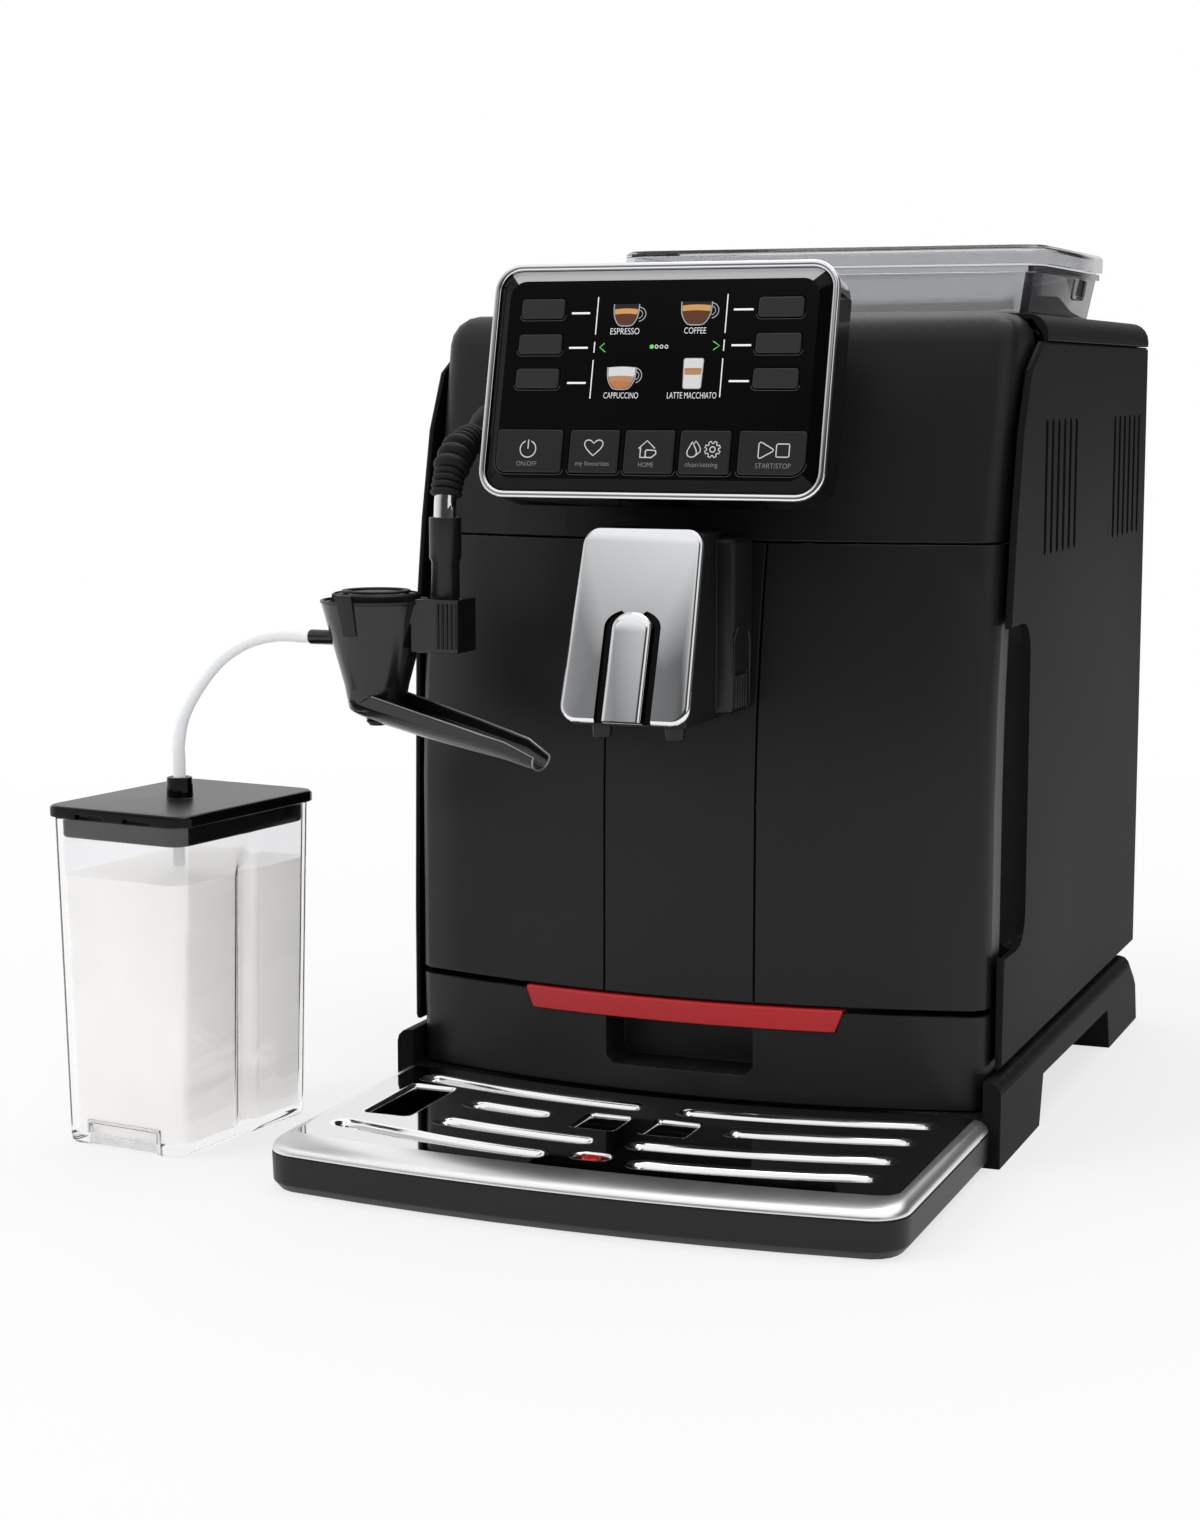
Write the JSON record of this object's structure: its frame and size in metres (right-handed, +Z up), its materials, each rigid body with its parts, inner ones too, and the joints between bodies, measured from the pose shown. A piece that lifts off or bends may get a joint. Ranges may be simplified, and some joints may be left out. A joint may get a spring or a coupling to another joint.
{
  "type": "bean to cup coffee machine",
  "caption": "Bean to cup coffee machine with bean hopper, key panel, height-adjustable spout, steam wand milk frother, drip tray, pull-out drawer and a milk jug.",
  "frame": {"origin": "on the ground under the front foot, on the machine's centre plane", "axes": "+Z up, -Y towards the user at the front, +X to the user's right"},
  "size_m": [0.3681, 0.431, 0.3635],
  "materials": {
    "satin_black_plastic": "satin",
    "black_moulding": "matt",
    "gloss_black": "gloss",
    "chrome": "polished",
    "polished_steel": "polished",
    "red_plastic": "satin",
    "dark_grey_key": "satin",
    "black_rubber": "matt",
    "smoked_clear_plastic": "clear",
    "clear_plastic": "clear",
    "circuit_board": "matt",
    "plain_metal": "plain",
    "brass": "plain",
    "clear_hose": "translucent"
  },
  "bodies": {
    "machine": {"plinth": "satin_black_plastic", "front_foot_strip": "black_rubber", "rear_foot_strip": "black_rubber", "inner_frame": "black_moulding", "left_side_panel": "satin_black_plastic", "right_side_panel": "satin_black_plastic", "rear_panel": "satin_black_plastic", "top_cover": "satin_black_plastic", "upper_fascia": "satin_black_plastic", "left_front_panel": "satin_black_plastic", "centre_panel": "satin_black_plastic", "control_housing": "gloss_black", "control_bezel": "chrome", "control_face": "gloss_black", "display_board": "circuit_board", "spout_rail": "black_moulding", "bean_hopper": "smoked_clear_plastic", "grinder": "plain_metal", "brew_group": "black_moulding", "boiler": "plain_metal", "pump": "plain_metal", "power_board": "circuit_board", "mains_inlet": "black_moulding", "wand_socket": "black_moulding", "milk_hose": "clear_hose"},
    "tank": {"water_tank": "smoked_clear_plastic", "tank_front_panel": "satin_black_plastic"},
    "spout": {"spout_body": "gloss_black", "spout_plate": "chrome"},
    "tray": {"drip_tray": "satin_black_plastic"},
    "cover": {"tray_cover": "polished_steel"},
    "float": {"tray_float": "red_plastic"},
    "drawer": {"drawer_front": "satin_black_plastic", "drawer_strip": "red_plastic", "grounds_bin": "black_moulding"},
    "lid": {"hopper_lid": "smoked_clear_plastic"},
    "knob": {"grind_knob": "black_moulding"},
    "burr": {"grinder_burr": "polished_steel"},
    "piston": {"brew_piston": "brass"},
    "gear": {"brew_gear": "clear_plastic"},
    "rocker": {"mains_switch": "satin_black_plastic"},
    "wand": {"wand_tube": "chrome", "wand_grip": "black_rubber", "wand_connector": "black_rubber"},
    "frother": {"milk_frother": "black_moulding"},
    "frother_top": {"frother_cap": "black_moulding"},
    "jug": {"milk_jug": "clear_plastic", "suction_tube": "clear_plastic"},
    "jug_top": {"jug_lid": "black_moulding"},
    "key_lt": {"soft_key_left_top": "dark_grey_key"},
    "key_lm": {"soft_key_left_middle": "dark_grey_key"},
    "key_lb": {"soft_key_left_bottom": "dark_grey_key"},
    "key_rt": {"soft_key_right_top": "dark_grey_key"},
    "key_rm": {"soft_key_right_middle": "dark_grey_key"},
    "key_rb": {"soft_key_right_bottom": "dark_grey_key"},
    "key_power": {"power_key": "dark_grey_key"},
    "key_favourites": {"favourites_key": "dark_grey_key"},
    "key_home": {"home_key": "dark_grey_key"},
    "key_settings": {"settings_key": "dark_grey_key"},
    "key_start": {"start_stop_key": "dark_grey_key"}
  },
  "joints": [
    {"name": "tank_pull", "type": "slide", "parent": "machine", "child": "tank", "axis": [0, -1, 0], "range_m": [0, 0.25]},
    {"name": "spout_height", "type": "slide", "parent": "machine", "child": "spout", "axis": [0, 0, 1], "range_m": [-0.055, 0]},
    {"name": "tray_pull", "type": "slide", "parent": "machine", "child": "tray", "axis": [0, -1, 0], "range_m": [0, 0.27]},
    {"name": "cover_lift", "type": "slide", "parent": "tray", "child": "cover", "axis": [0, 0, 1], "range_m": [0, 0.03]},
    {"name": "float_rise", "type": "slide", "parent": "tray", "child": "float", "axis": [0, 0, 1], "range_m": [0, 0.003]},
    {"name": "drawer_pull", "type": "slide", "parent": "machine", "child": "drawer", "axis": [0, -1, 0], "range_m": [0, 0.22]},
    {"name": "lid_hinge", "type": "hinge", "parent": "machine", "child": "lid", "pos_m": [0.014, 0.206, 0.3553], "axis": [-1, 0, 0], "range_deg": [0, 95]},
    {"name": "knob_turn", "type": "hinge", "parent": "machine", "child": "knob", "pos_m": [-0.04, 0.118, 0.322], "axis": [0, 0, 1], "range_deg": [-60, 60]},
    {"name": "burr_spin", "type": "hinge", "parent": "machine", "child": "burr", "pos_m": [0.064, 0.14, 0.262], "axis": [0, 0, 1], "continuous": true},
    {"name": "piston_lift", "type": "slide", "parent": "machine", "child": "piston", "axis": [0, 0, 1], "range_m": [0, 0.02]},
    {"name": "gear_turn", "type": "hinge", "parent": "machine", "child": "gear", "pos_m": [-0.0387, 0, 0.1327], "axis": [1, 0, 0], "range_deg": [0, 70]},
    {"name": "rocker_tilt", "type": "hinge", "parent": "machine", "child": "rocker", "pos_m": [-0.0505, 0.2165, 0.078], "axis": [1, 0, 0], "range_deg": [-8, 8]},
    {"name": "wand_swing", "type": "hinge", "parent": "machine", "child": "wand", "pos_m": [-0.087, -0.047, 0.283], "axis": [0, 1, 0], "range_deg": [0, 12], "deforming": ["milk_hose"]},
    {"name": "frother_pull", "type": "slide", "parent": "wand", "child": "frother", "axis": [0, 0, 1], "range_m": [-0.03, 0], "deforming": ["milk_hose"]},
    {"name": "cap_turn", "type": "hinge", "parent": "frother", "child": "frother_top", "pos_m": [-0.1165, -0.11, 0.2], "axis": [0, 0, 1], "range_deg": [0, 90]},
    {"name": "jug_lift", "type": "slide", "parent": "machine", "child": "jug", "axis": [0, 0, 1], "range_m": [0, 0.02], "deforming": ["milk_hose"]},
    {"name": "jug_lid_lift", "type": "slide", "parent": "jug", "child": "jug_top", "axis": [0, 0, 1], "range_m": [0, 0.008]},
    {"name": "press_left_top", "type": "slide", "parent": "machine", "child": "key_lt", "axis": [0, 0.9715, -0.2368], "range_m": [0, 0.001], "stiffness_N_per_m": 400},
    {"name": "press_left_middle", "type": "slide", "parent": "machine", "child": "key_lm", "axis": [0, 0.9715, -0.2368], "range_m": [0, 0.001], "stiffness_N_per_m": 400},
    {"name": "press_left_bottom", "type": "slide", "parent": "machine", "child": "key_lb", "axis": [0, 0.9715, -0.2368], "range_m": [0, 0.001], "stiffness_N_per_m": 400},
    {"name": "press_right_top", "type": "slide", "parent": "machine", "child": "key_rt", "axis": [0, 0.9715, -0.2368], "range_m": [0, 0.001], "stiffness_N_per_m": 400},
    {"name": "press_right_middle", "type": "slide", "parent": "machine", "child": "key_rm", "axis": [0, 0.9715, -0.2368], "range_m": [0, 0.001], "stiffness_N_per_m": 400},
    {"name": "press_right_bottom", "type": "slide", "parent": "machine", "child": "key_rb", "axis": [0, 0.9715, -0.2368], "range_m": [0, 0.001], "stiffness_N_per_m": 400},
    {"name": "press_power", "type": "slide", "parent": "machine", "child": "key_power", "axis": [0, 0.9715, -0.2368], "range_m": [0, 0.001], "stiffness_N_per_m": 400},
    {"name": "press_favourites", "type": "slide", "parent": "machine", "child": "key_favourites", "axis": [0, 0.9715, -0.2368], "range_m": [0, 0.001], "stiffness_N_per_m": 400},
    {"name": "press_home", "type": "slide", "parent": "machine", "child": "key_home", "axis": [0, 0.9715, -0.2368], "range_m": [0, 0.001], "stiffness_N_per_m": 400},
    {"name": "press_settings", "type": "slide", "parent": "machine", "child": "key_settings", "axis": [0, 0.9715, -0.2368], "range_m": [0, 0.001], "stiffness_N_per_m": 400},
    {"name": "press_start_stop", "type": "slide", "parent": "machine", "child": "key_start", "axis": [0, 0.9715, -0.2368], "range_m": [0, 0.001], "stiffness_N_per_m": 400}
  ],
  "couplings": [
    {"joint": "gear_turn", "follows": "piston_lift", "rad_per_m": 60.6}
  ]
}
